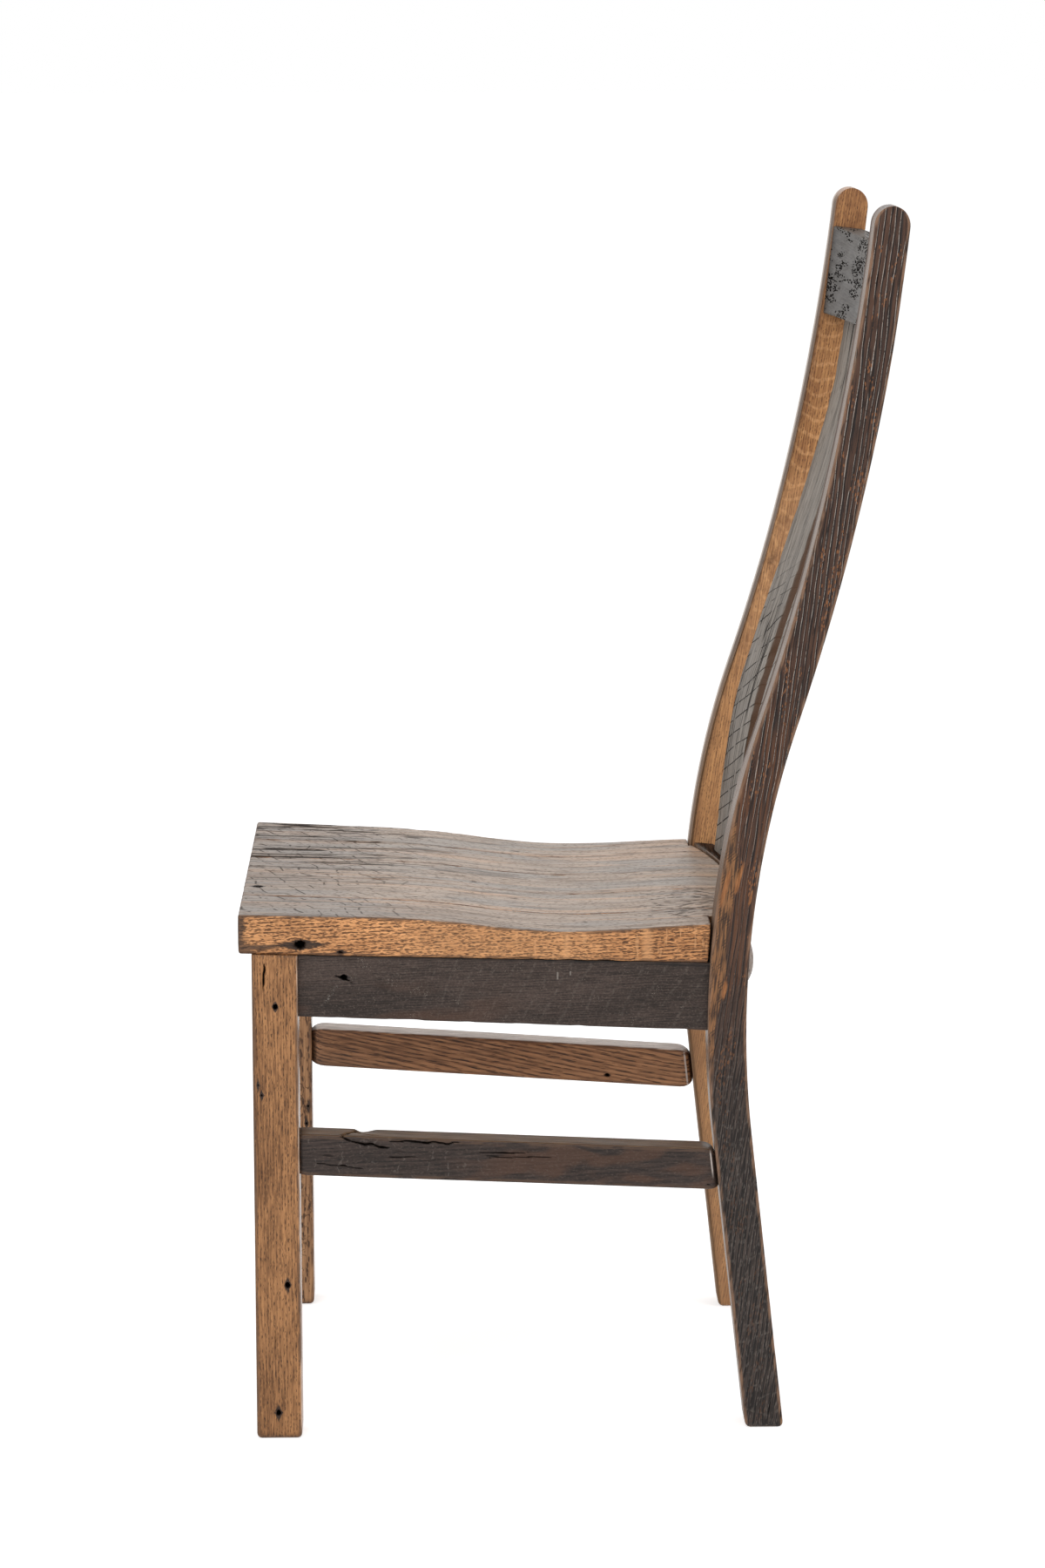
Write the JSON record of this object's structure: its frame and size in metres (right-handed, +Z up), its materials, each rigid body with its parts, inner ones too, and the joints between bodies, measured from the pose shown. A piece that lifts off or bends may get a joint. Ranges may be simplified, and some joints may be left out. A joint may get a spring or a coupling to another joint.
{
  "type": "side chair",
  "caption": "Oak side chair with a scooped plank seat, square front legs, S-curved rear posts, a bowed crest rail, bent vertical back slats and side stretchers.",
  "frame": {"origin": "on the floor, on the chair's middle plane, midway between the seat's front edge and the rearmost point of the crest rail", "axes": "+Z up, -Y the way the chair faces, +X the sitter's left"},
  "size_m": [0.457, 0.5874, 1.07],
  "materials": {
    "leg_oak": "satin varnish over worn, nail-holed old oak",
    "dark_oak": "satin varnish over worn, nail-holed old oak",
    "honey_oak": "satin varnish over worn, nail-holed old oak",
    "apron_oak": "satin varnish over worn, nail-holed old oak",
    "stretcher_oak": "satin varnish over worn, nail-holed old oak",
    "grey_oak": "satin varnish over worn, nail-holed old oak",
    "seat_oak": "satin varnish over worn, nail-holed old oak",
    "block_wood": "unfinished",
    "screw_steel": "zinc plated"
  },
  "bodies": {
    "root": {"front_leg_left": "leg_oak", "front_leg_right": "leg_oak", "rear_post_left": "dark_oak", "rear_post_right": "honey_oak", "side_apron_left": "apron_oak", "side_apron_right": "apron_oak", "front_apron": "apron_oak", "side_stretcher_left": "stretcher_oak", "side_stretcher_right": "stretcher_oak", "rear_rail": "grey_oak", "crest_rail": "grey_oak", "back_slat_1": "grey_oak", "back_slat_2": "grey_oak", "back_slat_3": "grey_oak", "seat_board_1": "seat_oak", "seat_board_2": "seat_oak", "seat_board_3": "seat_oak", "seat_board_4": "seat_oak", "seat_board_5": "seat_oak", "corner_block_front_left": "block_wood", "corner_block_front_right": "block_wood", "corner_block_rear_left": "block_wood", "corner_block_rear_right": "block_wood", "apron_screws": "screw_steel", "seat_screws": "screw_steel"}
  },
  "joints": []
}
